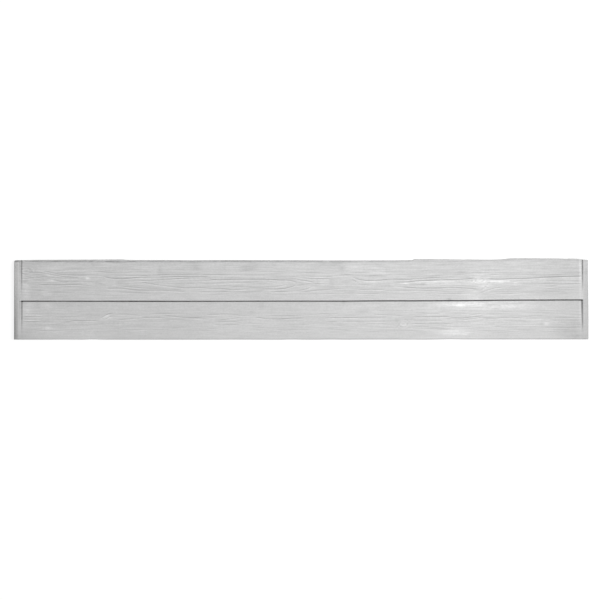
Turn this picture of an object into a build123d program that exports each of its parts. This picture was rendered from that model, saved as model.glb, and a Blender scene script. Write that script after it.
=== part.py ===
from build123d import *
import math
import os

# Precast concrete fence board: one cast slab that shows two overlapping planks between plain end tongues.
# It lies on its flat back with the planks up. X runs along the board, +Y is the edge that is upper in a fence,
# and +Z comes out of the planks. The origin is the middle of the back. Millimetres and degrees.

# The slab
board_length = 1800.0
board_height = 250.0
board_thickness = 40.0
mould_draft = 1.5  # lean of the long edges and the ends, so that the slab leaves its mould
front_arris = 3.0  # radius between the face and a long edge
back_arris = 1.0  # radius round the back, which is struck off level with the mould's rim

# The planks: each face falls from full thickness near its lower edge to recess_depth below it at the top
lower_plank = 122.0  # height that shows of the lower plank, which the upper one laps
recess_depth = 7.0
flush_band = 30.0  # height above a plank's lower edge that stays at full thickness
nose_draft = 15.0  # lean of the step under a plank's nose
nose_radius = 2.0
step_foot_radius = 1.5
top_arris = 4.0  # radius along the thinner top edge
end_fall = 2.6  # depth, at a plank's top, of the slope that takes its end down to the foot of a tongue's wall
end_fall_length = 6.0  # length of that slope there, which tapers to nothing at the flush band

# The tongues, which stand in the slots of the fence posts
tongue = 17.0
wall_draft = 18.0  # lean of the wall between a tongue and the planks
wall_bevel = 1.2  # depth of the 45 degree bevel along the top of that wall
corner_radius = 4.0  # in plan, where that wall turns into the step under a nose
corner_clearance = 0.5  # from the nose's rounding to the straight side of the window over it
window_clearance = 0.4  # depth of a window below the foot of the arris along the top edge
lead_in_length = 12.0  # slope on the tongue's end, which finds the slot
lead_in_depth = 2.5
lead_in_radius = 9.0

spill = 10.0  # how far a cutting or trimming shape runs past the slab

noses = [-board_height / 2, lower_plank - board_height / 2]  # lower edge of each plank, lowest first
low_face = board_thickness - recess_depth


def lean(rise, angle):
    """How far a wall of that rise runs sideways at that draft."""
    return rise * math.tan(math.radians(angle))


def under_a_nose(plank):
    return plank < len(noses) - 1


def face_top(plank):
    """Where a plank's face ends: at the foot of the step under the next nose, or at the board's top edge."""
    if under_a_nose(plank):
        return noses[plank + 1] - lean(recess_depth, nose_draft)
    return board_height / 2 - lean(low_face, mould_draft)


def slab_section():
    """The plain section that the tongues have, in the YZ plane."""
    half = board_height / 2
    inset = lean(board_thickness, mould_draft)
    outline = FilletPolyline(
        (-half, 0),
        (half, 0),
        (half - inset, board_thickness),
        (inset - half, board_thickness),
        radius=[0, 0, front_arris, front_arris],
        close=True,
    )
    return Plane.YZ * make_face(outline)


def plank_section():
    """The section through the planks, in the YZ plane: the back, the lower edge, then each face going up."""
    half = board_height / 2
    points = [(half, 0), (-half, 0), (lean(board_thickness, mould_draft) - half, board_thickness)]
    radii = [0, 0, front_arris]
    for plank, nose in enumerate(noses):
        points += [(nose + flush_band, board_thickness), (face_top(plank), low_face)]
        radii.append(0)
        if under_a_nose(plank):
            points.append((noses[plank + 1], board_thickness))
            radii += [step_foot_radius, nose_radius]
    radii.append(top_arris)
    return Plane.YZ * make_face(FilletPolyline(*points, radius=radii, close=True))


def plank_end_cut(plank, side):
    """What a plank's end loses beside a tongue: a slope with its point at the flush band and widest at the top."""
    outer = board_length / 2 - tongue + wall_bevel
    inner = board_length / 2 - tongue - lean(recess_depth, wall_draft) - end_fall_length
    drop = end_fall * (outer - inner) / end_fall_length
    point = Vector(side * outer, noses[plank] + flush_band, board_thickness)
    reach = 1.0 if under_a_nose(plank) else 1.1
    corners = [point]
    for x, fall in ((inner, 0), (outer, drop)):
        corner = Vector(side * x, face_top(plank) - lean(fall, nose_draft), low_face - fall)
        corners.append(point + (corner - point) * reach)
    slope = make_face(Polyline(*corners, close=True))
    return extrude(slope, amount=spill, dir=(0, lean(1, nose_draft), 1))


def window(plank, depth, draft_angle, grow=0.0):
    """The opening between the tongues over one plank. Its walls lean in, and grow moves them out at the face."""
    high_x = board_length / 2 - tongue + grow
    low_y = noses[plank] + flush_band / 2
    high_y = board_height / 2 + spill
    if under_a_nose(plank):
        high_y = noses[plank + 1] + nose_radius + corner_clearance
    outline = Pos(0, (low_y + high_y) / 2) * Rectangle(2 * high_x, high_y - low_y)
    if under_a_nose(plank):
        outline = fillet(outline.vertices().group_by(Axis.Y)[-1], corner_radius + grow)
    block = extrude(Plane.XY.offset(board_thickness) * outline, amount=-depth)
    walls = block.faces().filter_by(Axis.Z, reverse=True)
    return draft(walls, Plane.XY.offset(board_thickness), -draft_angle)


def tongue_block():
    """The plain slab with its middle opened down past the planks' faces, so that only the tongues stand high."""
    block = extrude(slab_section(), amount=board_length / 2, both=True)
    for plank in range(len(noses)):
        block -= window(plank, recess_depth + top_arris + window_clearance, wall_draft)
        block -= window(plank, wall_bevel, 45, grow=wall_bevel - lean(wall_bevel, wall_draft))
    return block


def end_profile():
    """The board seen from its lower edge, in the XZ plane: leaning ends with a rounded lead-in at the face."""
    half = board_length / 2
    shoulder = board_thickness - lead_in_depth
    end = half - lean(shoulder, mould_draft)
    slope_run = end - (half - lead_in_length)
    above = spill * slope_run / lead_in_depth
    right = [
        (half + lean(spill, mould_draft), -spill),
        (end, shoulder),
        (half - lead_in_length - above, board_thickness + spill),
    ]
    left = [(-x, z) for x, z in reversed(right)]
    radii = [0, lead_in_radius, 0]
    return Plane.XZ * make_face(FilletPolyline(*right, *left, radius=radii + radii, close=True))


def fence_board():
    """The planks' section run over the whole length, the tongues added, and the ends and the back's rim eased."""
    planks = extrude(plank_section(), amount=board_length / 2, both=True)
    for plank in range(len(noses)):
        planks -= plank_end_cut(plank, -1) + plank_end_cut(plank, 1)
    ends = extrude(end_profile(), amount=board_height, both=True)
    board = (planks + tongue_block()) & ends
    return fillet(board.edges().group_by(Axis.Z)[0], back_arris)


if __name__ == "__main__":
    os.makedirs("parts", exist_ok=True)
    export_step(fence_board(), "parts/fence_board.step")
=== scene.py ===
import math

import bpy
import numpy as np
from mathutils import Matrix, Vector


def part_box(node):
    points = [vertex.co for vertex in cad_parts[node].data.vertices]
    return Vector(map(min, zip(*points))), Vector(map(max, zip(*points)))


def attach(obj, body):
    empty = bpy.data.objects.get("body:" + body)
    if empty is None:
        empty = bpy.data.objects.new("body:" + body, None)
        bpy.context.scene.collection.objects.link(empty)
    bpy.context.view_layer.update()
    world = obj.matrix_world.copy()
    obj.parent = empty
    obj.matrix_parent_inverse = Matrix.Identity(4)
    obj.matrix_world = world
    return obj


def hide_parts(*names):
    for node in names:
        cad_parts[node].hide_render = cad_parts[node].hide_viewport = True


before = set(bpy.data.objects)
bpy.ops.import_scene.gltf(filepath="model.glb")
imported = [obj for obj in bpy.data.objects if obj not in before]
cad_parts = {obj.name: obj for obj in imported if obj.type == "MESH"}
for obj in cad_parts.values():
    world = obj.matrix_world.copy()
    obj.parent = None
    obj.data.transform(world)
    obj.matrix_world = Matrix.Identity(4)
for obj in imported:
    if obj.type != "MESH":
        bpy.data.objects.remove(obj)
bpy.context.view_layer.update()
print("frame loaded:", sorted(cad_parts))

lowCorner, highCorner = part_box("fence_board")


class Wire:
    # An output socket of a node. Sums and products of wires add Math nodes to its tree.
    def __init__(self, bench, socket):
        self.bench = bench
        self.socket = socket

    def math(self, operation, *values):
        return self.bench.add("ShaderNodeMath", {"operation": operation}, dict(enumerate(values)))

    def __add__(self, other):
        return self.math("ADD", self, other)

    def __radd__(self, other):
        return self.math("ADD", other, self)

    def __sub__(self, other):
        return self.math("SUBTRACT", self, other)

    def __rsub__(self, other):
        return self.math("SUBTRACT", other, self)

    def __mul__(self, other):
        return self.math("MULTIPLY", self, other)

    def __rmul__(self, other):
        return self.math("MULTIPLY", other, self)

    def __truediv__(self, other):
        return self.math("DIVIDE", self, other)

    def __pow__(self, other):
        return self.math("POWER", self, other)

    def __neg__(self):
        return self.math("MULTIPLY", self, -1.0)

    def __gt__(self, other):
        return self.math("GREATER_THAN", self, other)

    def root(self):
        return self.math("SQRT", self)

    def size(self):
        return self.math("ABSOLUTE", self)

    def part(self):
        return self.math("FRACT", self)

    def least(self, other):
        return self.math("MINIMUM", self, other)

    def most(self, other):
        return self.math("MAXIMUM", self, other)

    def bell(self, width):
        return self.math("EXPONENT", -(self / width) ** 2.0)

    def ramp(self, low, high, first=0.0, last=1.0):
        # eases from first at low to last at high, and stays there past them
        sockets = {"Value": self, "From Min": low, "From Max": high, "To Min": first, "To Max": last}
        return self.bench.add("ShaderNodeMapRange", {"interpolation_type": "SMOOTHSTEP"}, sockets)


class Bench:
    # A node tree while it is being wired.
    def __init__(self, tree):
        self.tree = tree

    def add(self, kind, settings=None, sockets=None, output=0):
        node = self.tree.nodes.new(kind)
        for name, value in (settings or {}).items():
            if name == "curve":
                self.bendCurve(node.mapping.curves[0], value)
                node.mapping.update()
            else:
                setattr(node, name, value)
        for key, value in (sockets or {}).items():
            if isinstance(value, Wire):
                self.tree.links.new(value.socket, node.inputs[key])
            else:
                node.inputs[key].default_value = value
        return Wire(self, node.outputs[output])

    def bendCurve(self, curve, stops):
        while len(curve.points) < len(stops):
            curve.points.new(0.5, 0.5)
        for point, stop in zip(curve.points, stops):
            point.location = stop
            point.handle_type = "AUTO_CLAMPED"

    def place(self, x, y, z):
        return self.add("ShaderNodeCombineXYZ", None, {"X": x, "Y": y, "Z": z})

    def split(self, vector):
        return [self.add("ShaderNodeSeparateXYZ", None, {"Vector": vector}, axis) for axis in range(3)]

    def noise(self, x, y, z, detail, roughness, fade=None):
        # noise about 0, mostly within half a unit of it, or eased between two shares if it has a fade
        sockets = {"Vector": self.place(x, y, z), "Scale": 1.0, "Detail": detail, "Roughness": roughness}
        value = self.add("ShaderNodeTexNoise", {"noise_dimensions": "3D"}, sockets) - 0.5
        return value.ramp(*fade) if fade else value


# The cast board, in metres and degrees

castBoard = {
    "length": highCorner.x - lowCorner.x,
    "height": highCorner.y - lowCorner.y,
    "thickness": highCorner.z - lowCorner.z,
    "mouldDraft": 1.5,
    "frontArris": 0.003,
    "topArris": 0.004,  # on the thin upper edge, between the tongues
    "backArris": 0.001,
    "backArrisMiddle": 0.3,  # share of it at the row half way round
    "lowerPlank": 0.122,  # height that shows of the lower plank
    "recess": 0.007,  # how far each plank's face falls back at its top
    "flushBand": 0.030,
    "fallMost": 1.05,  # share of its fall at which a face levels out, under the nose
    "noseDraft": 15.0,
    "noseSoftness": 0.0009,
    "footSoftness": 0.0007,
    "tongue": 0.017,
    "wallDraft": 18.0,
    "wallBevel": 0.0012,
    "wallSoftness": 0.0005,
    "cornerRadius": 0.004,
    "cornerRise": 0.0025,  # the straight top side of the lower window, above the nose line
    "endFall": 0.0026,  # the slope that takes a plank's end down to the wall's foot
    "endFallLength": 0.006,
    "endFallSoftness": 0.0006,
    "leadInLength": 0.012,
    "leadInDepth": 0.0025,
    "leadInRadius": 0.009,
    "faceColumns": 0.0052,  # pitch of the mesh along the planks
    "tongueColumns": 0.002,
    "endColumns": 0.0006,  # on the walls at the tongues, and endMargin past their feet
    "endMargin": 0.0006,
    "slopeColumns": 0.0013,  # on the planks' ends, to slopeMargin and seamReach past their slopes
    "slopeMargin": 0.0008,
    "seamReach": 0.005,
    "rows": [  # across the face: where each band of rows ends, and its pitch
        (-0.100, 0.0025), (-0.024, 0.00098), (-0.0072, 0.0025), (-0.0004, 0.00045),
        (0.014, 0.0025), (0.100, 0.00098), (0.112, 0.0025),
    ],
    "topRows": 0.0013,  # and from there to the upper arris
    "edgeRow": 0.00397,  # the last row of the face, inside the board's edge
    "arrisRows": 5,
    "rimRow": 0.0014,  # the first row down the walls, below the face's rim
    "sideRows": 3,
    "grainStart": (0.0028, 0.0085),  # where the grain comes in, inside the walls at the tongues
    "grainBands": [(-0.100, -0.036), (0.017, 0.094)],
    "bandSoftness": 0.012,
    "jointMiddle": 0.0008,  # below the nose line
    "jointClear": (0.0018, 0.0045),  # and where the grain comes in beside it
}

# What wear and the mould's own faults did to it. A pair of places is where something comes in.
flaws = {
    "lowerEdgeLift": 0.0009,
    "lowerEdgeRise": (0.38, 0.44),  # along the board
    "lowerEdgeReach": 0.030,  # and from the lower edge up
    "endLean": 0.0015,  # how far the right end leans out towards the lower edge
    "endLeanStart": (0.885, 0.897),  # along the board
    "endLeanFall": (-0.10, 0.06),  # and down from its middle
    "hollowReach": (0.020, 0.002),  # inside a long edge
    "chipReach": (0.010, 0.002),
    "chipHeight": (0.006, 0.024),  # chips don't reach the back
    "wornCorner": 0.0078,  # the upper left corner, in plan
    "lipFrom": 0.0016,  # a fin that reaches out this far begins to fill the arris,
    "lipTo": 0.0030,  # and one that reaches this far does
    "finMean": 0.97,
    "finWaves": [(0.04, 61.0, 1.3), (0.03, 173.0, 0.0), (0.03, 421.0, 0.6)],  # swing, pace and start
}

# place along the joint and how much too high it lies, in millimetres
jointLine = [
    (-900, -0.3), (-690, -0.35), (-420, -0.55), (-280, -0.5), (-140, -0.2), (0, -0.1), (70, -0.15),
    (137, -0.05), (206, 0.45), (275, 0.75), (343, 0.75), (412, 1.0), (481, 1.4), (550, 1.85), (619, 2.65),
    (688, 3.05), (756, 3.25), (825, 3.5), (900, 3.65),
]

# where the fin of slurry fills the upper arris: share of its reach and fall below the face, for each row
lipProfile = [(0.35, 0.0001), (0.68, 0.0003), (0.92, 0.0007), (1.0, 0.0016), (0.96, 0.0034)]

# place along the upper edge and how far the fin stands out, in millimetres
finLine = [
    (-864, 0), (-850, 0.6), (-823, 1.0), (-748, 1.3), (-673, 1.7), (-598, 2.3), (-556, 2.7), (-546, 1.0),
    (-500, 0), (135, 0), (153, 0.8), (171, 0), (351, 0), (354, 3.9), (380, 3.5), (416, 2.9), (440, 2.8),
    (456, 3.2), (470, 2.7), (491, 2.5), (528, 2.2), (566, 1.8), (596, 1.6), (616, 2.6), (636, 3.0),
    (652, 5.3), (679, 6.0), (716, 5.8), (754, 5.5), (791, 5.6), (808, 4.9), (829, 4.1), (850, 4.7),
    (860, 4.9), (868, 4.2), (876, 3.5), (881, 2.2), (886, 2.0), (893, 1.8), (898, 0),
]

# long hollows in the upper edge, down to the back: place, half length and depth in millimetres
hollows = [(140, 160, 1.2), (-345, 40, 0.8), (284, 40, 0.4), (-97, 60, 0.25)]

# and in the lower one
lowerHollows = [
    (-754, 60, 0.3), (-654, 22, 0.8), (-203, 60, 0.35), (-25, 30, 0.6), (90, 30, 0.5), (262, 110, 0.6),
    (472, 25, 1.0),
]

# shallow chips out of the upper edge, and a notch: place, half width and depth in millimetres
chips = [
    (-345, 28, 1.0), (-70, 20, 0.5), (20, 10, 0.5), (121, 18, 0.6), (226, 22, 0.5), (-508, 9, 0.8),
    (510, 9, 0.7), (622, 8, 0.6), (-300, 9, 0.5), (-866.5, 3.0, 2.8),
]


def lean(rise, angle):
    return rise * math.tan(math.radians(angle))


def spaced(start, end, pitch):
    count = max(1, round(abs(end - start) / pitch))
    return [start + (end - start) * i / count for i in range(count)]


def softLeast(a, b, softness):
    return (a + b - np.sqrt((a - b) ** 2 + softness ** 2)) / 2


def softMost(a, b, softness):
    return (a + b + np.sqrt((a - b) ** 2 + softness ** 2)) / 2


def ease(value, low, high):
    t = np.clip((value - low) / (high - low), 0, 1)
    return t * t * (3 - 2 * t)


def bell(value, width):
    return np.exp(-(value / width) ** 2)


def slab(value, width):
    # as wide as a bell, with a flatter top and steeper flanks
    return np.exp(-(value / width) ** 4)


def valueAt(stops, x):
    # the value at each place, straight from stop to stop
    return np.interp(x, *np.array(stops).T)


def lineThrough(stops, x):
    # the height of a smooth line through its stops
    places, heights = np.array(stops, float).T
    slopes = np.gradient(heights, places)
    k = np.clip(np.searchsorted(places, x) - 1, 0, len(places) - 2)
    run = places[k + 1] - places[k]
    rise = heights[k + 1] - heights[k]
    t = np.clip((x - places[k]) / run, 0, 1)
    early, late = slopes[k] * run - rise, rise - slopes[k + 1] * run
    return heights[k] + t * rise + t * (1 - t) * (early * (1 - t) + late * t)


def noseLine(b):
    return b["lowerPlank"] - b["height"] / 2


def endStations(b):
    # the stations in a tongue's rounded end, from the end wall inwards: place, and height of the lead-in
    half, top = b["length"] / 2, b["thickness"]
    slope = math.atan2(b["leadInDepth"], b["leadInLength"] - lean(top, b["mouldDraft"]))
    upright = math.radians(90 - b["mouldDraft"])
    radius = b["leadInRadius"]
    # the arc touches the slope and the leaning end
    centreX = half - lean(top - radius, b["mouldDraft"]) - radius
    start = half - b["leadInLength"]
    centreZ = top - (centreX - start) * math.tan(slope) - radius / math.cos(slope)
    arc = [upright + (slope - upright) * i / b["arrisRows"] for i in range(b["arrisRows"] + 1)]
    stations = [(centreX + radius * math.sin(a), centreZ + radius * math.cos(a)) for a in arc]
    for x in spaced(stations[-1][0], start, b["tongueColumns"])[1:]:
        stations.append((x, top - (x - start) * math.tan(slope)))
    return stations, start


def columnStations(b):
    # every station along the board, left to right, and the height that the lead-ins leave there
    ends, start = endStations(b)
    free = b["thickness"] + 1
    wall = b["length"] / 2 - b["tongue"]
    outer = wall + b["wallBevel"]
    foot = wall - lean(b["recess"] + b["endFall"], b["wallDraft"]) - b["endMargin"]
    level = wall - lean(b["recess"], b["wallDraft"]) - b["endFallLength"] - b["slopeMargin"]
    level -= b["seamReach"]
    xs = spaced(start, outer, b["tongueColumns"]) + spaced(outer, foot, b["endColumns"])
    xs += spaced(foot, level, b["slopeColumns"])
    side = ends + [(x, free) for x in xs]
    left = [(-x, z) for x, z in side]
    middle = [(x, free) for x in spaced(-level, level, b["faceColumns"])] + [(level, free)]
    return np.array(left + middle + side[::-1]).T


def rowStations(b):
    # stations across the face, from the lower arris to the upper one
    edge = b["height"] / 2 - b["edgeRow"]
    start = -edge
    rows = []
    for end, pitch in b["rows"] + [(edge, b["topRows"])]:
        rows += spaced(start, end, pitch)
        start = end
    return np.array(rows + [edge])


def faceHeight(b, x, y):
    # height of the planks' side at each place, before its grain
    half, top = b["height"] / 2, b["thickness"]
    nose = noseLine(b)
    lowerTop = nose - lean(b["recess"], b["noseDraft"])
    upperTop = half - lean(top - b["recess"], b["mouldDraft"])
    inside = b["length"] / 2 - b["tongue"] - np.abs(x)
    fallReach = b["wallBevel"] + lean(b["recess"], b["wallDraft"]) + b["endFallLength"]
    faces = []
    for start, end in ((-half, lowerTop), (nose, upperTop)):
        first = start + b["flushBand"]
        depth = np.clip((y - first) / (end - first), 0, b["fallMost"])
        past = softMost(fallReach * depth - b["wallBevel"] - inside, 0, b["endFallSoftness"])
        faces.append(top - b["recess"] * np.minimum(depth, 1) - past * b["endFall"] / b["endFallLength"])
    step = top + (y - nose) / math.tan(math.radians(b["noseDraft"]))
    planks = softLeast(softMost(faces[0], step, b["footSoftness"]), faces[1], b["noseSoftness"])
    # the walls at the tongues, with the plan corner of the lower window
    below = nose + b["cornerRise"] - y
    radius = b["cornerRadius"]
    corner = radius - np.hypot(np.maximum(radius - inside, 0), np.maximum(radius - below, 0))
    inWindow = np.where((below > 0) & (inside < radius), np.minimum(corner, inside), inside)
    wall = top - inWindow / math.tan(math.radians(b["wallDraft"]))
    flare = top - inWindow - b["wallBevel"] + lean(b["wallBevel"], b["wallDraft"])
    tongues = softLeast(softLeast(wall, flare, b["wallSoftness"]), top, b["wallSoftness"] / 2)
    return softMost(planks, tongues, b["wallSoftness"]), inside


def sideDistance(b, z):
    # how far the long edges and the ends stand out from their widest line at that height
    return -lean(z, b["mouldDraft"])


def finReachAt(x):
    # how far the fin stands out at each place along the upper edge
    reach = valueAt(np.array(finLine) / 1000, x)
    ragged = sum(swing * np.sin(x * pace + start) for swing, pace, start in flaws["finWaves"])
    return reach * (flaws["finMean"] + ragged)


def boardGrid(b):
    # the face's grid, with the arrises of both long edges
    xs, caps = columnStations(b)
    rows = rowStations(b)
    x = xs[:, None]
    y = np.repeat(rows[None, :], len(xs), 0)
    z, inside = faceHeight(b, x + 0 * y, y)
    count = b["arrisRows"]
    half = b["height"] / 2
    upright = math.radians(90 - b["mouldDraft"])
    # the upper arris is larger between the tongues, and starts from the face's tilt there
    edgeZ = z[:, -1:]
    thin = np.clip((b["thickness"] - edgeZ) / b["recess"], 0, 1)
    radius = b["frontArris"] + (b["topArris"] - b["frontArris"]) * thin
    tilt = math.atan2(b["recess"], half - b["flushBand"]) * thin
    centreZ = edgeZ - radius * np.cos(tilt)
    centreY = half + sideDistance(b, centreZ) - radius
    y[:, -1:] = centreY + radius * np.sin(tilt)
    lowRadius = b["frontArris"]
    lowCentreZ = z[:, :1] - lowRadius
    lowCentreY = half + sideDistance(b, lowCentreZ) - lowRadius
    y[:, :1] = -lowCentreY
    fin = finReachAt(x)
    lip = ease(fin, flaws["lipFrom"], flaws["lipTo"])
    edgeY = y[:, -1:]
    lowArris, highArris = [], []
    for i in range(1, count + 1):
        turn = tilt + (upright - tilt) * i / count
        roundY = centreY + radius * np.sin(turn) + fin * i / count
        roundZ = centreZ + radius * np.cos(turn)
        out, fall = lipProfile[i - 1]
        lipY, lipZ = edgeY + (radius + fin) * out, edgeZ - fall
        highArris.append((roundY + (lipY - roundY) * lip, roundZ + (lipZ - roundZ) * lip))
        turn = upright * i / count
        lowY = -lowCentreY - lowRadius * math.sin(turn)
        lowArris.insert(0, (lowY, lowCentreZ + lowRadius * math.cos(turn)))
    y = np.hstack([p[0] for p in lowArris] + [y] + [p[0] for p in highArris])
    z = np.hstack([p[1] for p in lowArris] + [z] + [p[1] for p in highArris])
    z = np.minimum(z, caps[:, None])
    y[:, 0] = -half - sideDistance(b, z[:, 0])
    y[:, -1:] = half + sideDistance(b, z[:, -1:]) + fin
    inside = np.pad(inside, ((0, 0), (count, count)), "edge")
    return np.stack([x + 0 * y, y, z], -1), inside


def ringOf(columns, rows):
    # indices of the grid's border, anticlockwise from above, and which walls each one stands on
    index = np.arange(columns * rows).reshape(columns, rows)
    ring = np.concatenate([index[:, 0], index[-1, 1:], index[-2::-1, -1], index[0, -2:0:-1]])
    i, j = ring // rows, ring % rows
    return ring, 1 * (i == columns - 1) - (i == 0), 1 * (j == rows - 1) - (j == 0)


def settle(b, points):
    # the joint runs out of true, the edges are chipped, and the upper left corner is worn round
    f = flaws
    x, y, z = points.T
    halfLength, half = b["length"] / 2, b["height"] / 2

    def nearEdge(height, reach):
        return ease(height, half - reach[0], half - reach[1])

    stray = lineThrough(jointLine, x * 1000) / 1000
    y = y + stray * np.maximum(1 - (y / half) ** 2, 0)
    y = y + f["lowerEdgeLift"] * ease(x, *f["lowerEdgeRise"]) * nearEdge(-y, (f["lowerEdgeReach"], 0))
    x = x + f["endLean"] * ease(x, *f["endLeanStart"]) * ease(-y, *f["endLeanFall"])
    high = nearEdge(y, f["chipReach"]) * ease(z, *f["chipHeight"])
    for side, places in ((1, hollows), (-1, lowerHollows)):
        for place, reach, depth in places:
            hollow = depth / 1000 * bell(x - place / 1000, reach / 1000)
            y = y - side * hollow * nearEdge(side * y, f["hollowReach"])
    for place, reach, depth in chips:
        y = y - depth / 1000 * bell(x - place / 1000, reach / 1000) * high
    r = f["wornCorner"]
    outX, outY = np.maximum(-x - halfLength + r, 0), np.maximum(y - half + r, 0)
    reach = np.hypot(outX, outY)
    share = np.where(reach > 0, np.maximum(outX, outY) / np.maximum(reach, 1e-9), 1)
    x = np.where(outX > 0, -halfLength + r - outX * share, x)
    y = np.where(outY > 0, half - r + outY * np.where(outX > 0, share, 1), y)
    return np.stack([x, y, z], -1)


# The strongest lines of the grain: strength, then places along and above the board's middle, in millimetres.
# Where two meet, the timber's rings close to a point.
upperLines = [
    (0.8, (-855, 86), (-818, 85), (-775, 78), (-737, 72), (-699, 69)),
    (0.9, (-806, 89), (-787, 87), (-762, 81), (-730, 78), (-668, 77)),
    (0.6, (-868, 75), (-837, 69), (-806, 72), (-768, 69), (-686, 66)),
    (0.9, (-820, 47), (-755, 47), (-693, 47), (-655, 44)),
    (0.6, (-793, 67), (-768, 61), (-743, 56), (-718, 59)),
    (0.5, (-868, 80), (-837, 75), (-812, 66)),
    (0.4, (-755, 41), (-668, 39)),
    (1.0, (-617, 73), (-602, 69), (-580, 67), (-549, 67), (-505, 70), (-442, 71), (-379, 73), (-292, 73)),
    (0.7, (-599, 78), (-492, 76), (-417, 79), (-267, 79), (-191, 79)),
    (0.8, (-511, 60), (-473, 61), (-417, 64), (-361, 68), (-279, 68)),
    (0.9, (-605, 36), (-567, 36), (-517, 31), (-442, 30), (-361, 26)),
    (0.7, (-574, 44), (-530, 40), (-486, 36), (-379, 32)),
    (0.5, (-567, 24), (-473, 20)),
    (0.8, (-498, 55), (-448, 47), (-411, 42), (-367, 38), (-317, 38), (-279, 40)),
    (0.7, (-317, 25), (-267, 25), (-223, 27)),
    (0.7, (-304, 35), (-260, 36), (-216, 32), (-173, 33)),
    (1.0, (-285, 63), (-191, 64), (-110, 64), (-66, 62), (-31, 60), (-14, 54)),
    (0.9, (-116, 34), (-72, 34), (-41, 38), (-22, 45), (-12, 53)),
    (0.6, (-166, 38), (-122, 40), (-78, 42), (-47, 48)),
    (1.0, (-16, 64), (6, 61), (25, 58), (40, 54)),
    (0.8, (-85, 26), (-35, 27), (3, 31), (22, 36), (38, 44)),
    (0.7, (-16, 26), (22, 27), (47, 30), (91, 33), (135, 36)),
    (0.8, (-10, 69), (34, 67), (91, 67)),
    (0.6, (22, 73), (97, 73)),
    (0.6, (-229, 54), (-166, 55), (-135, 56)),
    (0.4, (-116, 60), (-91, 56), (-75, 52)),
    (1.0, (163, 72), (175, 66), (191, 62), (235, 61), (285, 64), (335, 64), (373, 67), (442, 70)),
    (1.0, (326, 55), (363, 59), (404, 61), (492, 64), (542, 67)),
    (0.8, (160, 63), (170, 58), (180, 51)),
    (0.9, (298, 43), (323, 40), (360, 37), (410, 36), (511, 37), (551, 33)),
    (0.6, (260, 29), (385, 30), (460, 26), (542, 26)),
    (0.5, (172, 20), (247, 20)),
    (0.6, (429, 20), (548, 20)),
    (0.6, (448, 71), (529, 71)),
    (1.0, (583, 66), (623, 64), (655, 66), (711, 67), (749, 70), (799, 72), (877, 74)),
    (0.7, (799, 59), (877, 59)),
    (0.8, (799, 50), (877, 50)),
    (0.7, (558, 20), (580, 29), (598, 35), (630, 40)),
    (0.7, (561, 30), (576, 40), (586, 52)),
    (0.4, (589, 24), (686, 25)),
    (0.5, (-741, 41), (-688, 41)),
    (0.5, (-335, 60), (-275, 61)),
    (0.6, (-216, 41), (-150, 40)),
    (0.7, (180, 32), (262, 32)),
    (0.4, (58, 19), (110, 19)),
    (0.7, (505, 30), (560, 30)),
    (0.5, (505, 23), (545, 23)),
    (0.5, (530, 86), (595, 85)),
    (0.6, (560, 93), (635, 93)),
    (0.4, (610, 31), (685, 31)),
    (0.6, (610, 19), (685, 19)),
]
lowerLines = [
    (0.7, (-868, -44), (-812, -45)),
    (0.8, (-868, -53), (-812, -52)),
    (0.6, (-868, -61), (-812, -61)),
    (0.7, (-868, -69), (-812, -68)),
    (0.8, (-742, -70), (-716, -69)),
    (0.8, (-722, -65), (-640, -65)),
    (0.5, (-724, -79), (-636, -79)),
    (0.4, (-824, -97), (-737, -96)),
    (1.0, (-626, -56), (-608, -46), (-592, -42)),
    (0.8, (-614, -61), (-602, -54), (-589, -50)),
    (0.5, (-574, -45), (-530, -46), (-498, -50)),
    (0.6, (-574, -62), (-517, -58)),
    (0.8, (-498, -55), (-436, -55)),
    (0.9, (-429, -50), (-392, -52), (-367, -55), (-310, -57)),
    (0.4, (-417, -61), (-367, -62)),
    (0.6, (-292, -46), (-210, -46), (-188, -49)),
    (0.7, (-254, -62), (-216, -59), (-188, -55)),
    (0.7, (-273, -67), (-198, -68)),
    (0.5, (-273, -78), (-198, -77)),
    (0.75, (-141, -55), (-104, -59), (-66, -60), (-35, -58), (9, -57)),
    (0.5, (-97, -49), (-41, -50), (3, -48)),
    (0.5, (-72, -94), (41, -94)),
    (0.8, (75, -55), (172, -55), (272, -54)),
    (0.7, (78, -69), (116, -69)),
    (0.6, (128, -68), (266, -67)),
    (0.5, (204, -74), (266, -75)),
    (0.4, (53, -44), (116, -44)),
    (0.6, (229, -45), (316, -50)),
    (0.8, (354, -53), (467, -52)),
    (0.6, (350, -64), (435, -64)),
    (0.7, (350, -74), (470, -74)),
    (0.6, (392, -43), (435, -42)),
    (0.4, (345, -83), (410, -83)),
    (0.8, (467, -57), (529, -55), (567, -50)),
    (0.7, (504, -63), (536, -59), (567, -55)),
    (0.5, (529, -47), (567, -42)),
    (0.5, (454, -85), (542, -83)),
    (0.6, (429, -92), (467, -92)),
    (0.7, (613, -56), (690, -56)),
    (0.5, (640, -67), (690, -67)),
    (0.6, (605, -83), (632, -83)),
    (0.6, (695, -53), (720, -51), (760, -51)),
    (0.6, (705, -70), (740, -70)),
    (0.5, (636, -65), (743, -68)),
    (0.6, (785, -56), (877, -56)),
    (0.6, (780, -64), (877, -64)),
    (0.4, (-465, -43), (-400, -43)),
    (0.5, (-292, -55), (-266, -55)),
    (0.4, (-292, -90), (-262, -89)),
    (0.4, (84, -49), (187, -48)),
    (0.5, (500, -42), (530, -42)),
]

# knots: place, radius along and across, in millimetres, and strength
knots = [(558, 62, 13, 7, 0.7), (320, -76, 12, 9, 0.7), (-862, 90, 17, 9, 0.6), (-240, -61, 14, 6, 0.3)]

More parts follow.
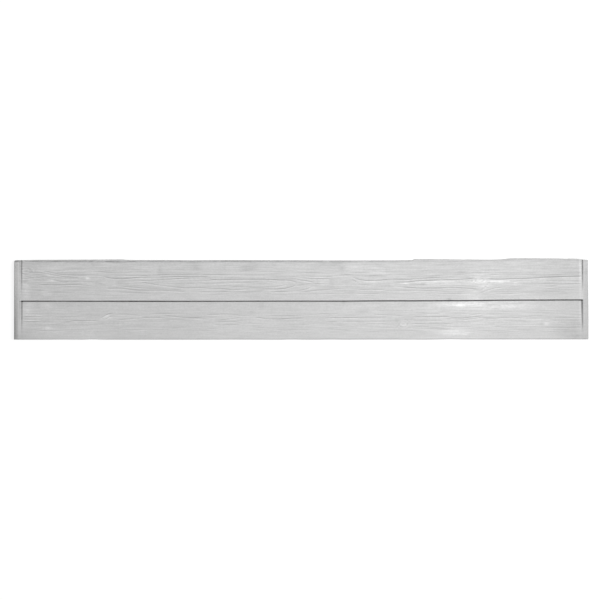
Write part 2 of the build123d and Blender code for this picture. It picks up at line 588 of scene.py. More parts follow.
# marks on the concrete: place, half length, half width, in millimetres, and strength
darkSpots = [
    (-442, 92, 8, 13, 0.8), (-330, 102, 15, 9, 0.8), (-170, 100, 26, 8, 0.8), (-154, -38, 15, 5, 0.7),
    (-122, -20, 9, 13, 0.6), (100, 112, 34, 9, 0.9), (130, 99, 8, 6, 1.1), (133, -9, 6, 5, 1.0),
    (367, 83, 24, 5, 0.5), (122, 104, 20, 12, 0.5), (-150, 112, 16, 10, 0.5), (-575, 117, 22, 2.5, 0.9),
    (301, -66, 8, 4, 1.0), (464, 1, 7, 4, 1.6), (-652, 108, 5, 6, 0.6), (-580, 8, 6, 4, 0.5),
    (-868, -12, 3, 5, 0.8), (-872, -117, 26, 10, 0.8), (868, -114, 45, 6, 0.7), (-896, -95, 4, 40, 0.8),
    (868, -112, 20, 14, 0.3), (-858, 90, 12, 4, 0.8), (-862, 58, 8, 4, 0.7), (892, 88, 4, 9, 0.9),
    (272, -68, 20, 5, 0.5), (790, 30, 60, 12, 0.3), (820, -100, 60, 14, 0.4), (-848, -104, 22, 18, 0.25),
    (70, -120, 60, 4, 0.5), (-560, -119, 40, 4, 0.5), (-568, 119.5, 30, 3.2, 1.1),
    (-728, 120.5, 14, 2.2, 0.8), (-680, 120.5, 12, 2.2, 0.6), (-425, 120.5, 32, 2.2, 1.0),
    (-230, 120.5, 10, 2.0, 0.8), (-184, 120.8, 10, 2.4, 1.5), (-25, 120, 28, 2.6, 0.75),
    (150, -4.5, 12, 1.8, 1.0), (838, -85, 32, 26, 0.65), (838, -40, 36, 40, 0.25), (838, 92, 40, 22, 0.3),
    (866, -92, 26, 38, 0.4), (-410, -50, 45, 24, 0.3), (0, -62, 60, 20, 0.25), (-340, -70, 60, 50, 0.25),
]
# pale marks, with painted highlights: the glare on the right half, the bright line below the joint, the lit
# rim at the right end and painted light on the left ends
lightSpots = [
    (-787, 76, 10, 3.0, 1.5), (-783, 60, 11, 3.5, 1.8), (-668, 67, 6, 3.5, 2.6), (-796, 23, 15, 7, 1.1),
    (-868, 121, 4, 3, 1.4), (-790, -90, 20, 5, 0.6), (-792, -18, 16, 6, 0.6), (-770, -104, 30, 3, 0.5),
    (-832, -49, 24, 2, 1.2), (-845, -65, 26, 2, 0.8), (-607, -52, 10, 4, 1.0), (624, 57, 40, 4, 2.0),
    (672, 54, 10, 6, 1.0), (768, -76, 9, 6, 1.3), (560, 62, 24, 16, 0.5), (536, 22, 20, 12, 0.6),
    (553, 81, 14, 4, 0.8), (574, 44, 14, 8, 0.6), (500, -60, 90, 60, 0.28), (190, 60, 160, 70, 0.2),
    (880, 72, 3, 55, 0.9), (480, -7.5, 150, 3.0, 0.7), (620, -6, 110, 3.0, 0.6), (-870, 70, 4, 20, 0.8),
    (-872, -40, 3, 18, 0.4), (-780, -30, 20, 9, 0.4), (-790, -86, 14, 6, 0.5), (328, 51, 11, 4, 1.5),
    (-60, 50, 60, 5, 0.4), (245, 54, 40, 4, 0.5), (585, 88, 30, 10, 0.3), (497, -15, 48, 8, 1.0),
    (600, -19, 70, 10, 0.7), (420, -24, 35, 16, 0.6), (490, -103, 42, 9, 1.3), (497, 52, 45, 9, 0.9),
    (405, 50, 40, 9, 0.5), (750, 60, 40, 6, 0.8), (504, -15, 46, 5, 1.4), (565, -14, 34, 6, 0.5),
    (650, -20, 60, 6, 0.9), (590, -28, 110, 3, 0.6), (610, 56, 54, 4, 1.0), (440, 57, 60, 3, 1.2),
    (565, 60, 44, 22, 0.45), (545, 8, 26, 8, 0.6), (585, 66, 20, 4, 1.0), (-858, 34, 9, 28, 0.55),
    (-857, -30, 12, 26, 0.45), (215, 98, 60, 14, 0.35), (215, -20, 60, 14, 0.25), (-760, 95, 80, 14, 0.25),
    (-838, 120.5, 18, 2.2, 1.0), (-300, 120.5, 28, 2.2, 0.8), (-835, -22, 28, 18, 0.35),
    (-862, 34, 13, 22, 0.55), (-860, -30, 13, 24, 0.4), (-785, -20, 30, 16, 0.25),
    (-680, -104, 45, 16, 0.45),
]
glossySpots = [
    (510, -16, 58, 10, 1.0), (650, -18, 90, 11, 0.6), (480, -101, 72, 9, 0.7), (624, 57, 36, 4, 0.6),
]

# How lines and knots are cut, in millimetres, and in a knot's radii
cutting = {
    "overrun": 8,  # past a line's first and last places
    "taper": 18,  # over which it comes in
    "grooveWidth": 1.15,
    "ridgeDrop": 2.6,  # from a groove down to the ridge beside it
    "ridgeWidth": 1.3,
    "room": 6.0,  # that a line keeps clear of finer grain
    "knotTurns": (1.0, 1.75),
    "knotWidth": 0.17,
    "knotRidge": 0.36,  # inside each turn
    "knotRoom": 2.2,
    "knotDepth": (0.6, 0.4, 0.6),  # the turns' mean depth, its swing round the knot, and the swing's start
}


def drawLines(x, y):
    # groove, the ridge below it, and the room that the lines take, at each point of the grid in millimetres
    c = cutting
    groove, ridge, room = 0 * x, 0 * x, 0 * x
    for strength, *stops in upperLines + lowerLines:
        start, end = stops[0][0] - c["overrun"], stops[-1][0] + c["overrun"]
        near = np.flatnonzero((x[:, 0] > start) & (x[:, 0] < end))
        along = x[near, 0]
        centre = lineThrough(stops, along)
        steep = np.gradient(centre, along)
        across = (y[near] - centre[:, None]) / np.sqrt(1 + steep[:, None] ** 2)
        ends = (ease(along, start, start + c["taper"]) * (1 - ease(along, end - c["taper"], end)))[:, None]
        groove[near] = np.maximum(groove[near], bell(across, c["grooveWidth"]) * ends * strength)
        beside = bell(across + c["ridgeDrop"], c["ridgeWidth"])
        ridge[near] = np.maximum(ridge[near], beside * ends * strength)
        room[near] = np.maximum(room[near], bell(across, c["room"]) * ends)
    mean, swing, turned = c["knotDepth"]
    for knotX, knotY, halfLength, halfWidth, strength in knots:
        out = np.hypot((x - knotX) / halfLength, (y - knotY) / halfWidth)
        side = mean + swing * np.sin(np.arctan2(y - knotY, x - knotX) * 2 + turned)
        for turn in c["knotTurns"]:
            groove = np.maximum(groove, bell(out - turn, c["knotWidth"]) * side * strength / turn)
            ridge = np.maximum(ridge, bell(out - turn + c["knotRidge"], c["knotWidth"]) * strength / turn)
        room = np.maximum(room, bell(out, c["knotRoom"]))
    return groove, ridge, room


def spotsOn(spots, x, y):
    sheet = 0 * x
    for spotX, spotY, halfLength, halfWidth, strength in spots:
        sheet += strength * bell(x - spotX, halfLength) * bell(y - spotY, halfWidth)
    return sheet


# Dirt and wear, with painted shade and painted light, as shares of the finish at their strongest, with places
# and half widths in metres. Two places are where something comes in. What differs between the planks is given
# for the upper one and then the lower.
stainsAndPaintedLight = {
    # dark seams along the walls at the tongues, grime with painted shade where a wall or a plank's end turns
    # from the light: share, place inside the wall's top, width, and rise above the plank's lower edge
    "leftSeam": ((0.70, 0.81), (0.0082, 0.0089), (0.0017, 0.0017), (0.002, 0.090)),
    "rightSeam": ((0.84, 0.80), (0.0022, 0.0031), (0.0009, 0.0013), (0.010, 0.062)),
    "rightSeamBend": (0.050, 0.085),  # below this the lower one keeps to the upper one's place
    "rightSeamFall": 0.30,  # the upper one weakens by this share towards its top
    "rightSeamTop": (0.08, 0.12),
    # patches on the tongues, the darker ones grime with painted shade on the lead-ins and the lighter ones
    # painted light on the rounded ends: share, rise outwards, and rise along the end
    "leftTongue": (0.17, (0.878, 0.889), (-0.060, 0.050)),
    "rightTongue": (0.06, (0.882, 0.885), (-0.085, -0.020)),
    "leftEnd": (2.3, (0.889, 0.897), (-0.10, 0.10)),
    "rightEnd": (0.9, (0.890, 0.897), (0, 1)),  # all along it
    # lines worn lighter, the nose and the lower edge, and lines of painted light that lift the shade on the
    # step and at the planks' ends beside the walls: share, place, and width
    "noseWear": (0.8, 0.0018, 0.0013),
    "stepLightening": (2.6, -0.0010, 0.0014),  # painted light on the step, outside the joint's dark line
    "leftRim": (0.7, 0.0060, 0.0022),
    "rightRim": (1.0, 0.0088, 0.0020),
    "lowerEdge": (1.0, 0.0038, 0.0022),
    # the joint's dark line: painted shade in the step under the nose, with grime
    "joint": 0.95,
    "jointPlace": 0.0010,  # below the nose line
    "jointStart": (0.0050, 0.0085),  # inside the top of the left wall
    "jointEnd": (0.0, 0.0016),  # and of the right one
    "dirtAndShadeMost": 0.95,
    "arrisWidth": 0.0022,
    "finRim": 0.30,
    "finRimStart": (-0.0002, 0.0014),  # past the upper edge
    "wallDirt": 0.25,
    "noseWearStart": (0, 0.003),
    "rightRimHighlight": (2.7, 1.2),
    # wear and painted light that grow: its least share, and the places between which it grows to the whole
    "noseWearGrowth": (0.3, 0.1, 0.6),
    "leftRimGrowth": (0, 0.03, 0.07),
    "rightRimGrowth": (0.35, 0.04, 0.08),
    "stepLighteningStart": (-0.001, 0.001),
}

# strength of the dark line along the upper edge, from place to place in metres
arrisStrength = [
    (-0.9, 0.95), (-0.64, 0.92), (-0.60, 1.15), (-0.56, 1.1), (-0.5, 0.82), (-0.3, 0.70), (-0.25, 0.85),
    (-0.15, 0.82), (0.0, 0.72), (0.12, 0.66), (0.3, 0.42), (0.45, 0.30), (0.62, 0.24), (0.76, 0.26),
    (0.87, 0.40), (0.884, 0.15), (0.9, 0.15),
]

# and how far inside the upper edge it lies
arrisPlaces = [(-0.9, 0.0046), (0.47, 0.0046), (0.60, 0.0022), (0.9, 0.0024)]

# how light the lower edge is rubbed, from place to place in metres
lowerEdgeWear = [
    (-0.9, 0), (-0.80, 0), (-0.74, 0.6), (-0.63, 0.85), (-0.5, 0.4), (-0.4, 0.1), (-0.2, 0.2), (-0.05, 0.5),
    (0.1, 0.5), (0.2, 0), (0.3, 0.1), (0.38, 1.0), (0.5, 1.0), (0.62, 0.6), (0.75, 0.3), (0.9, 0.1),
]

# half width of the joint's dark line, painted shade in the step with grime, from place to place in metres
jointWidths = [
    (-0.9, 0.0020), (-0.82, 0.0018), (-0.75, 0.0016), (-0.69, 0.0016), (-0.6, 0.00185), (-0.49, 0.00205),
    (-0.42, 0.0019), (-0.33, 0.0016), (-0.2, 0.0016), (-0.14, 0.00175), (0.0, 0.00175), (0.3, 0.00195),
    (0.45, 0.00205), (0.55, 0.0020), (0.9, 0.0019),
]


def stainsAndPaintedLightOn(b, x, y, inside):
    # grime with painted shade, the darker line along the upper edge, and wear with painted light
    s = stainsAndPaintedLight
    nose, half = noseLine(b), b["height"] / 2
    upper = y > nose
    above = np.where(upper, y - nose, y + half)

    def each(pair):
        return np.where(upper, pair[0], pair[1])

    def rubbed(name, distance):
        share, place, width = s[name]
        return share * bell(distance - place, width)

    def grown(name, distance):
        least, low, high = s[name]
        return least + (1 - least) * ease(distance, low, high)

    def seam(name, place):
        shares, places, widths, rise = s[name]
        return each(shares) * bell(inside - place, each(widths)) * ease(above, *rise)

    def patch(name, out, along=1):
        share, outwards, alongEnd = s[name]
        return share * ease(out, *outwards) * ease(along, *alongEnd)

    # the joint's dark line: painted shade in the step under the nose, with grime
    started = ease(inside, *s["jointStart"])
    dirt = s["joint"] * slab(y - nose + s["jointPlace"], valueAt(jointWidths, x))
    dirt *= np.where(x < 0, started, ease(inside, *s["jointEnd"]))
    # dark seams at the walls: grime with painted shade
    dirt += seam("leftSeam", each(s["leftSeam"][1])) * (x < 0)
    near, far = s["rightSeam"][1]
    place = near + (far - near) * ease(above, *s["rightSeamBend"]) * (1 - upper)
    topFall = 1 - s["rightSeamFall"] * ease(above, *s["rightSeamTop"]) * upper
    dirt += seam("rightSeam", place) * topFall * (x > 0)
    # darker tongue patches: grime with painted shade on the lead-ins
    dirt += patch("leftTongue", -x, -y) + patch("rightTongue", x, -y)
    dirt = np.minimum(dirt, s["dirtAndShadeMost"])

    # a darker ragged line along the upper edge, and a darker fin past it
    arris = bell(y - half + valueAt(arrisPlaces, x), s["arrisWidth"]) * valueAt(arrisStrength, x)
    arris = np.maximum(arris, s["finRim"] * ease(y - half, *s["finRimStart"]))

    wear = rubbed("noseWear", y - nose) * ease(inside, *s["noseWearStart"]) * grown("noseWearGrowth", x)
    # painted light on the planks' ends beside the walls and on the step by the left wall, lifting their
    # shade, with a painted highlight at the right ends
    wear += rubbed("leftRim", inside) * grown("leftRimGrowth", above) * (x < 0)
    wear += each(s["rightRimHighlight"]) * rubbed("rightRim", inside) * grown("rightRimGrowth", above) * (x > 0)
    wear += rubbed("stepLightening", y - nose) * (1 - started) * ease(inside, *s["stepLighteningStart"]) * (x < 0)
    wear += rubbed("lowerEdge", y + half) * valueAt(lowerEdgeWear, x)
    # painted light on the tongues' rounded ends
    wear += patch("leftEnd", -x, y) + patch("rightEnd", x)
    return dirt, arris, wear


def faceMasks(b, grid, seen, inside):
    # What the relief and the finish need to know at each point of the face. Dirt, wear, painted shade and
    # painted light go by the mould's true shape, and grain and spots by where the points have settled.
    onFace = ease(inside, *b["grainStart"])
    onFace[:, :b["arrisRows"]] = 0
    onFace[:, -b["arrisRows"]:] = 0
    onFace *= ease(np.abs(grid[:, :, 1] - noseLine(b) + b["jointMiddle"]), *b["jointClear"])
    x, y = seen[:, :, 0] * 1000, seen[:, :, 1] * 1000
    groove, ridge, room = drawLines(x, y)
    dirt, arrisDirt, wear = stainsAndPaintedLightOn(b, grid[:, :, 0], grid[:, :, 1], inside)
    soft = b["bandSoftness"]
    across = seen[:, :, 1]
    bands = 0
    for low, high in b["grainBands"]:
        bands = bands + ease(across, low - soft, low + soft) * (1 - ease(across, high - soft, high + soft))
    return {
        "grainCover": onFace, "lineGroove": groove, "lineRidge": ridge, "lineRoom": room,
        "grainBands": bands * onFace, "dirt": dirt, "arrisDirt": arrisDirt, "rubbed": wear,
        "darkSpots": spotsOn(darkSpots, x, y), "lightSpots": spotsOn(lightSpots, x, y),
        "glossySpots": spotsOn(glossySpots, x, y),
    }


def wallLevels(b, rim):
    # the rows down the walls: height, and how far in from the leaning wall
    under = rim - b["rimRow"]
    levels = [(under, 0)]
    for k in range(1, b["sideRows"] + 1):
        share = k / b["sideRows"]
        levels.append((under * (1 - share) + b["backArris"] * share, 0))
    middle = b["backArris"] * b["backArrisMiddle"]
    return levels + [(0 * under + middle, middle), (0 * under, b["backArris"])]


def makeBoardMesh(b):
    grid, inside = boardGrid(b)
    columns, rows = grid.shape[:2]
    points = [grid.reshape(-1, 3)]
    faces = []
    for i in range(columns - 1):
        for j in range(rows - 1):
            a = i * rows + j
            faces.append((a, a + rows, a + rows + 1, a + 1))
    above, onEnd, onEdge = ringOf(columns, rows)
    top = points[0][above]
    offset = columns * rows
    for z, inset in wallLevels(b, top[:, 2]):
        wall = sideDistance(b, z) - inset
        x = np.where(onEnd != 0, onEnd * (b["length"] / 2 + wall), top[:, 0])
        y = np.where(onEdge != 0, onEdge * (b["height"] / 2 + wall), top[:, 1])
        points.append(np.stack([x, y, z], -1))
        below = np.arange(offset, offset + len(above))
        faces += zip(above, below, np.roll(below, -1), np.roll(above, -1))
        above = below
        offset += len(below)
    faces.append(above[::-1])
    mesh = bpy.data.meshes.new("castBoard")
    settled = settle(b, np.vstack(points))
    mesh.from_pydata(settled.tolist(), [], [[int(i) for i in face] for face in faces])
    mesh.polygons.foreach_set("use_smooth", [True] * (len(faces) - 1) + [False])
    seen = settled[:columns * rows].reshape(columns, rows, 3)
    for name, values in faceMasks(b, grid, seen, inside).items():
        onWalls = np.full(len(settled) - values.size, stainsAndPaintedLight["wallDirt"] if name == "arrisDirt" else 0.0)
        whole = np.concatenate([values.ravel(), onWalls]).astype(np.float32)
        mesh.attributes.new(name, "FLOAT", "POINT").data.foreach_set("value", whole)
    mesh.validate()
    return mesh


# The grain that the mould's timber left in the planks' faces, with its heights in millimetres

grain = {
    "lineHeight": 1.05,
    "ringSpacing": 9.4,
    "ringHeight": 0.26,
    "fibreHeight": 0.50,
    "swellHeight": 0.35,
    "hairHeight": 0.48,  # the fine lines between the strong ones
    "wander": 0.55,  # how far the rings stray, in rings
    "seed": 7.0,
}

# Noise in the relief: step from the seed, length along and width across the planks in millimetres, detail,
# roughness. What makes the grain come and go has a fade too: a stretch of the noise, and shares at its ends.
grainNoise = {
    "drift": (0.0, 210.0, 48.0, 2.0, 0.5),
    "fibres": (2.0, 90.0, 4.6, 2.0, 0.55),
    "tremble": (4.0, 46.0, 17.0, 1.0, 0.5),
    "coarse": (6.0, 150.0, 8.5, 2.0, 0.5),
    "ringFading": (9.0, 120.0, 11.0, 2.0, 0.6, (-0.16, 0.10, 0.15, 1.0)),
    "swell": (12.0, 190.0, 40.0, 1.0, 0.5),
    "thinning": (15.0, 38.0, 16.0, 2.0, 0.5, (-0.22, 0.06, 0.45, 1.0)),
    "hair": (21.0, 260.0, 8.6, 1.0, 0.4),
    "hairFading": (27.0, 70.0, 14.0, 2.0, 0.5, (-0.14, 0.10, 0.1, 1.0)),
}

# How the relief is put together: shares, and places in millimetres
grainMix = {
    "calm": (60.0, 260.0, 1.0, 0.3),  # how calm the lower plank is, from one place to the next
    "calmRings": 0.5,
    "calmHairs": 0.45,
    "calmFibres": 0.3,
    "drift": 2.6,
    "tremble": 0.5,
    "strayReach": 9.0,
    "ringBend": 1.6,  # a ring's slow rise to the hard late wood,
    "ringRise": 0.75,
    "ringGroove": 0.85,  # and its sharp fall into a fine groove
    "groovePlace": 0.06,
    "grooveWidth": 0.10,
    "heartReach": (10.0, 44.0, 1.0, 0.20),  # rings show most along the heart
    "lineRoomRings": 0.9,
    "lineRoomHairs": 0.7,
    "hairWidth": 0.042,
    "ridge": 0.45,  # a ridge's height, as a share of its groove's depth
    "outsideBands": 0.3,  # fibres left between the bands of grain
    "coarse": 0.8,
    "castNoise": (34.0, 3.0, 0.55),  # on faces with no grain: size, detail and roughness
    "castHeight": 0.22,
    "castFloor": 8.0,
    "waveNoise": (55.0, 3.0, 4.0, 0.62),  # on the long edges: size, depth, detail and roughness
    "waveHeight": 0.9,
    "waveFrom": 119.5,
    "waveReach": 4.5,
    "waveRise": (6.0, 22.0),
    "grooveStainAndShade": 0.35,  # what the finish sees of the relief: painted shade in the grooves, and painted highlight on the ring slopes and below the hairlines
    "hairStainAndShade": 0.6,
    "slopeShine": 0.2,
    "hairShine": 0.6,
}

# Each plank's heart: height of its line above the joint, then the depth of the heart under the face at
# stations along the board, in millimetres. Rings close into points where the heart dips.
hearts = {
    "upper": {
        "line": [(-900, 62), (-640, 57), (-420, 49), (-120, 52), (60, 56), (330, 51), (560, 54), (900, 63)],
        "depth": [(-900, 31), (-760, 22), (-640, 19), (-560, 9), (-330, 2), (-120, 4), (-16, 9), (44, 18),
                  (110, 30), (190, 33), (290, 25), (330, 18), (420, 7), (520, 3), (600, 14), (700, 27),
                  (900, 34)],
    },
    "lower": {
        "line": [(-900, -62), (-560, -66), (-240, -60), (0, -55), (220, -62), (480, -58), (900, -66)],
        "depth": [(-900, 26), (-700, 33), (-600, 24), (-480, 20), (-330, 26), (-235, 18), (-150, 27), (0, 33),
                  (160, 24), (300, 29), (430, 22), (520, 17), (620, 27), (900, 34)],
    },
}
heartSpan = 1000.0  # either way along the board
heartRange = {"line": (-100, 100), "depth": (0, 50)}  # what a curve's bottom and top stand for


def heartCurve(bench, along, stops, low, high):
    # a smooth line through the stops, in millimetres, read at the place along the board
    curve = [((x + heartSpan) / (2 * heartSpan), (value - low) / (high - low)) for x, value in stops]
    share = (along + heartSpan) / (2 * heartSpan)
    height = bench.add("ShaderNodeFloatCurve", {"curve": curve}, {"Factor": 1.0, "Value": share})
    return height * (high - low) + low


def plankRings(bench, x, y, heart, stray):
    # distance from the heart, which strays less and less towards its line
    across = y - heartCurve(bench, x, heart["line"], *heartRange["line"])
    depth = heartCurve(bench, x, heart["depth"], *heartRange["depth"])
    radius = (across ** 2.0 + depth ** 2.0).root()
    return radius + stray * grainMix["strayReach"] * across.size() / radius.most(1.0)


def makeGrainTree(material):
    tree = bpy.data.node_groups.new("timberGrain", "GeometryNodeTree")
    tree.is_modifier = True
    face = tree.interface
    face.new_socket("Geometry", in_out="INPUT", socket_type="NodeSocketGeometry")
    for name in grain:
        face.new_socket(name, in_out="INPUT", socket_type="NodeSocketFloat")
    face.new_socket("Geometry", in_out="OUTPUT", socket_type="NodeSocketGeometry")
    bench = Bench(tree)
    inputs = tree.nodes.new("NodeGroupInput")
    geometry = Wire(bench, inputs.outputs["Geometry"])
    given = {name: Wire(bench, inputs.outputs[name]) for name in grain}
    mix = grainMix

    def mask(name):
        return bench.add("GeometryNodeInputNamedAttribute", {"data_type": "FLOAT"}, {"Name": name})

    x, y, z = [axis * 1000.0 for axis in bench.split(bench.add("GeometryNodeInputPosition"))]
    seed = given["seed"] * 10.0

    def noiseOf(name, height=y):
        step, length, width, *kind = grainNoise[name]
        return bench.noise(x / length, height / width, seed + step, *kind)

    upper = y > 0.0
    calm = (1.0 - upper) * x.ramp(*mix["calm"])
    cover = mask("grainCover")
    grooves, ridges, lineRoom = mask("lineGroove"), mask("lineRidge"), mask("lineRoom")
    bands = mask("grainBands")

    # slow drift of the rings, the same for both planks but read at different heights
    stray = (noiseOf("drift") * mix["drift"] + noiseOf("tremble") * mix["tremble"]) * given["wander"]
    rings = [plankRings(bench, x, y, hearts[plank], stray) for plank in ("upper", "lower")]
    radius = rings[0] * upper + rings[1] * (1.0 - upper)

    # the rings come and go, and give way to the strong lines
    phase = (radius / given["ringSpacing"]).part()
    slope = phase ** mix["ringBend"]
    place, width = mix["groovePlace"], mix["grooveWidth"]
    groove = (phase - place).bell(width) + (phase - (1.0 + place)).bell(width)
    ring = slope * mix["ringRise"] - groove * mix["ringGroove"]
    strength = radius.ramp(*mix["heartReach"]) * noiseOf("ringFading")
    strength = strength * (1.0 - lineRoom * mix["lineRoomRings"]) * (1.0 - calm * mix["calmRings"])

    # hairlines between the strong lines, where a stretched noise passes zero, each with a ridge below it
    hairRoom = noiseOf("hairFading") * (1.0 - lineRoom * mix["lineRoomHairs"])
    hairRoom = hairRoom * bands * (1.0 - calm * mix["calmHairs"])
    hair = noiseOf("hair").bell(mix["hairWidth"]) * hairRoom
    hairRidge = noiseOf("hair", y + cutting["ridgeDrop"]).bell(mix["hairWidth"]) * hairRoom

    # the strong lines, which thin out here and there, and short fibres along the planks
    thinning = noiseOf("thinning")
    lines = (ridges * mix["ridge"] - grooves) * thinning
    fibres = noiseOf("fibres")
    fibreShare = bands * (1.0 - mix["outsideBands"]) + mix["outsideBands"]
    fibreShare = fibreShare * (1.0 - calm * mix["calmFibres"])
    relief = ring * strength * given["ringHeight"] + lines * given["lineHeight"]
    relief = relief + (fibres + noiseOf("coarse") * mix["coarse"]) * fibreShare * given["fibreHeight"]
    relief = relief + noiseOf("swell") * given["swellHeight"]
    relief = relief + (hairRidge * mix["ridge"] - hair) * given["hairHeight"]

    # the plain cast faces aren't quite flat either
    size, *kind = mix["castNoise"]
    cast = bench.noise(x / size, y / size, z / size, *kind) * mix["castHeight"]
    rise = relief * cover + cast * (1.0 - cover) * (z > mix["castFloor"])
    offset = bench.place(0.0, 0.0, rise / 1000.0)
    lifted = bench.add("GeometryNodeSetPosition", None, {"Geometry": geometry, "Offset": offset})

    # and the long edges wave a little
    size, *kind = mix["waveNoise"]
    wave = bench.noise(x / size, y / size, *kind) * mix["waveHeight"]
    outer = (y.size() - mix["waveFrom"]).ramp(0.0, mix["waveReach"]) * z.ramp(*mix["waveRise"])
    sideways = bench.place(0.0, wave * outer / 1000.0, 0.0)
    kept = bench.add("GeometryNodeSetPosition", None, {"Geometry": lifted, "Offset": sideways})

    # painted shade for the grooves, and painted highlight on the ring slopes and the ridges below the
    # grooves, stored for the finish
    deepest = (groove * strength * mix["grooveStainAndShade"]).most(grooves * thinning).most(hair * mix["hairStainAndShade"])
    highest = slope * strength * mix["slopeShine"] + ridges * thinning + hairRidge * mix["hairShine"]
    stored = {
        "grainLine": deepest * cover,
        "grainRidge": highest * cover,
        "grainFibre": fibres * fibreShare * cover,
    }
    for name, value in stored.items():
        settings = {"data_type": "FLOAT", "domain": "POINT"}
        sockets = {"Geometry": kept, "Name": name, "Value": value}
        kept = bench.add("GeometryNodeStoreNamedAttribute", settings, sockets)
    whole = bench.add("GeometryNodeRealizeInstances", None, {"Geometry": kept})
    finished = bench.add("GeometryNodeSetMaterial", None, {"Geometry": whole, "Material": material})
    outputs = tree.nodes.new("NodeGroupOutput")
    tree.links.new(finished.socket, outputs.inputs[0])
    return tree


def carveGrain(board, material):
    modifier = board.modifiers.new("timberGrain", "NODES")
    modifier.node_group = makeGrainTree(material)
    sockets = modifier.node_group.interface.items_tree
    identifiers = {item.name: item.identifier for item in sockets if item.in_out == "INPUT"}
    for name, value in grain.items():
        modifier[identifiers[name]] = value
    evaluated = board.evaluated_get(bpy.context.evaluated_depsgraph_get())
    carved = bpy.data.meshes.new_from_object(evaluated)
    board.modifiers.remove(modifier)
    board.data = carved


# The concrete, whose colour and roughness change by these shares. Places are in millimetres.

concrete = {
    "grey": 0.42,
    "roughness": 0.60,
    "glossyRoughness": 0.46,
    "swings": {"cloud": 0.10, "blotch": 0.10, "mottle": 0.09, "sand": 0.06, "grit": 0.24},
    "streakSwing": 0.20,
    "streakRows": (84.0, 98.0, 1.0, 2.0),  # streaks are stronger along the upper edge
    "highlightStreaks": 0.30,
    "fibreSwing": 0.36,
    # grooves darker, the grain's tone with painted shade; ridges lighter, wear with painted highlight
    "lineDark": 0.40,
    "ridgeWearAndHighlight": 0.30,
    "spotDark": 0.15,
    "paleSpotAndHighlightShare": 0.15,
    "spotMottle": 2.2,
    "wearAndPaintedLightShare": 0.13,
    "dirtAndShadeMottle": 0.4,
    "arrisDark": 0.60,
    "rightEndDark": 0.06,
    "rightEndPlace": (690.0, 860.0),
    "backPlace": (0.5, 1.2),  # the struck-off back ends at this height
    "backDark": 0.06,
    "glossMottle": 1.6,
    "mottleRough": 0.08,
    "lineRough": 0.10,
    "backRough": 0.15,
    "sandNoise": (0.9, 2.0, 0.7),  # pace, detail and roughness
    "trowelNoise": (3.0, 40.0, 0.0, 3.0, 0.6),  # length, width, depth, detail and roughness
    "bumpHeights": {"tiny": 0.5, "sand": 0.35, "trowel": 1.5},
    "bumpStrength": 0.35,
    "bumpDistance": 0.0004,
}

# Noise in the concrete: length along the board and width across it in millimetres, detail and roughness
concreteNoise = {
    "cloud": (170.0, 60.0, 4.0, 0.55),
    "blotch": (36.0, 22.0, 2.0, 0.5),
    "mottle": (17.0, 10.0, 3.0, 0.6),
    "grit": (5.0, 3.6, 1.0, 0.5),
    "streaks": (52.0, 3.0, 1.0, 0.5),
    "ragged": (24.0, 9.0, 3.0, 0.6, (-0.22, 0.18, 0.35, 1.0)),
    "tiny": (26.0, 1.3, 2.0, 0.6),
}


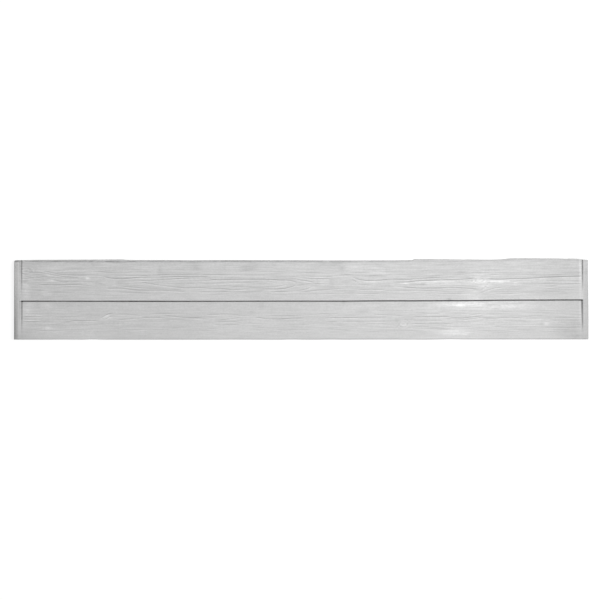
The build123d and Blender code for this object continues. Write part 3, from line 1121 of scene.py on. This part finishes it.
def makeConcrete():
    c = concrete
    material = bpy.data.materials.new("castConcrete")
    material.use_nodes = True
    tree = material.node_tree
    tree.nodes.clear()
    bench = Bench(tree)
    x, y, z = [axis * 1000.0 for axis in bench.split(bench.add("ShaderNodeTexCoord", None, None, 3))]

    def mask(name):
        return bench.add("ShaderNodeAttribute", {"attribute_name": name}, None, 2)

    noises = {}
    for name, (length, width, *kind) in concreteNoise.items():
        noises[name] = bench.noise(x / length, y / width, z / width, *kind)
    pace, *kind = c["sandNoise"]
    noises["sand"] = bench.noise(x * pace, y * pace, z * pace, *kind)
    mottle = noises["mottle"]
    line = mask("grainLine")
    light = mask("lightSpots")

    tone = 1.0
    for name, swing in c["swings"].items():
        tone = tone + noises[name] * swing
    # tone streaks, stronger along the upper edge, and painted sheen streaks in the pale spots and painted
    # highlights
    streaky = c["streakSwing"] * y.ramp(*c["streakRows"]) + light * c["highlightStreaks"]
    tone = tone + noises["streaks"] * streaky
    tone = tone * (1.0 + mask("grainFibre") * c["fibreSwing"])
    # grooves take painted shade and the ridges below them a painted highlight, with the grain's own tone
    tone = tone * (1.0 - line * c["lineDark"]) * (1.0 + mask("grainRidge") * c["ridgeWearAndHighlight"])
    broken = 1.0 + mottle * c["spotMottle"]
    tone = tone * (1.0 - mask("darkSpots") * broken * c["spotDark"])
    # pale marks and painted highlights lighten the tone
    tone = tone * (1.0 + light * broken * c["paleSpotAndHighlightShare"])
    # wear, and painted light on the step, the planks' ends and the tongues
    tone = tone * (1.0 + mask("rubbed") * c["wearAndPaintedLightShare"])
    # grime, with painted shade in the joint, along the walls and on the left tongue's lead-in
    tone = tone * (1.0 - mask("dirt") * (1.0 + mottle * c["dirtAndShadeMottle"]))
    # darker ragged line along the upper edge, on the fin and a little on the sides
    tone = tone * (1.0 - mask("arrisDirt") * noises["ragged"] * c["arrisDark"])
    tone = tone * x.ramp(*c["rightEndPlace"], 1.0, 1.0 - c["rightEndDark"])

    # the struck-off back is coarser than the cast sides
    back = z.ramp(*c["backPlace"], 1.0, 0.0)
    tone = tone * (1.0 - back * c["backDark"])
    grey = tone * c["grey"]
    glossy = (mask("glossySpots") * (1.0 + mottle * c["glossMottle"])).least(1.0)
    rough = c["roughness"] + mottle * c["mottleRough"] + line * c["lineRough"] + back * c["backRough"]
    rough = rough - glossy * (c["roughness"] - c["glossyRoughness"])

    heights = c["bumpHeights"]
    tiny = noises["tiny"] * mask("grainCover")
    length, width, *kind = c["trowelNoise"]
    trowel = bench.noise(x / length, y / width, *kind) * back
    height = tiny * heights["tiny"] + noises["sand"] * heights["sand"] + trowel * heights["trowel"]
    bumps = {"Strength": c["bumpStrength"], "Distance": c["bumpDistance"], "Height": height}
    bump = bench.add("ShaderNodeBump", None, bumps)
    colour = bench.add("ShaderNodeCombineColor", None, {0: grey, 1: grey, 2: grey})
    sockets = {"Base Color": colour, "Roughness": rough, "Normal": bump}
    shader = bench.add("ShaderNodeBsdfPrincipled", None, sockets)
    output = tree.nodes.new("ShaderNodeOutputMaterial")
    tree.links.new(shader.socket, output.inputs["Surface"])
    return material


scene = bpy.context.scene
concreteFinish = makeConcrete()
print("concrete mixed")

boardPiece = bpy.data.objects.new("castBoard", makeBoardMesh(castBoard))
scene.collection.objects.link(boardPiece)
carveGrain(boardPiece, concreteFinish)
boardPiece.data.name = "castBoard"
triangles = sum(len(p.vertices) - 2 for p in boardPiece.data.polygons)
print("board cast:", len(boardPiece.data.vertices), "points,", triangles, "triangles")

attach(boardPiece, "root")
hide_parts("fence_board")


# The floor, the lights and the camera

studio = {
    "floorHalf": 6.0,
    "floorTone": 0.15,
    "floorRoughness": 0.9,
    "floorGlow": 0.86,  # keeps the floor just white beside the board
    "lights": {  # place, aim, size and power
        "overhead": ((0.70, 0.0, 4.5), (0.55, 0.0, 0.0), 1.0, 155.0),
        "raking": ((2.0, 2.0, 3.4), (0.3, 0.0, 0.0), 1.0, 75.0),
    },
    "skyStrength": 0.30,
    "cameraHeight": 12.0,
    "cameraCentre": (-0.0031, -0.0006),
    "boardWidthInPhoto": 573.95,  # pixels of 600, from end to end
    "photoWidth": 600.0,
}


def makeFloor():
    half = studio["floorHalf"]
    mesh = bpy.data.meshes.new("floor")
    corners = [(-half, -half, 0), (half, -half, 0), (half, half, 0), (-half, half, 0)]
    mesh.from_pydata(corners, [], [(0, 1, 2, 3)])
    material = bpy.data.materials.new("paleFloor")
    material.use_nodes = True
    tone = studio["floorTone"]
    shader = material.node_tree.nodes["Principled BSDF"]
    shader.inputs["Base Color"].default_value = (tone, tone, tone, 1)
    shader.inputs["Roughness"].default_value = studio["floorRoughness"]
    shader.inputs["Emission Color"].default_value = (1, 1, 1, 1)
    shader.inputs["Emission Strength"].default_value = studio["floorGlow"]
    mesh.materials.append(material)
    floor = bpy.data.objects.new("floor", mesh)
    scene.collection.objects.link(floor)


def aimAt(thing, target):
    thing.rotation_euler = (Vector(target) - thing.location).to_track_quat("-Z", "Y").to_euler()


def makeLight(name, place, aim, size, power):
    light = bpy.data.lights.new(name + "Light", "AREA")
    light.shape = "DISK"
    light.size = size
    light.energy = power
    lamp = bpy.data.objects.new(name + "Light", light)
    lamp.location = place
    lamp.visible_camera = False
    scene.collection.objects.link(lamp)
    aimAt(lamp, aim)


def makeSky():
    world = bpy.data.worlds.new("softSky")
    world.use_nodes = True
    sky = world.node_tree.nodes["Background"]
    sky.inputs["Color"].default_value = (1, 1, 1, 1)
    sky.inputs["Strength"].default_value = studio["skyStrength"]
    scene.world = world


def makeCamera():
    camera = bpy.data.cameras.new("camera")
    spot = bpy.data.objects.new("camera", camera)
    centreX, centreY = studio["cameraCentre"]
    spot.location = (centreX, centreY, studio["cameraHeight"])
    endX, endZ = endStations(castBoard)[0][0]
    away = studio["cameraHeight"] - endZ
    seen = 2 * endX * studio["photoWidth"] / studio["boardWidthInPhoto"]
    camera.lens = camera.sensor_width * away / seen
    scene.collection.objects.link(spot)
    scene.camera = spot


makeFloor()
for name, light in studio["lights"].items():
    makeLight(name, *light)
makeSky()
makeCamera()
view = scene.view_settings
view.view_transform = "Standard"
view.look = "None"
print("studio ready")

bpy.context.view_layer.update()
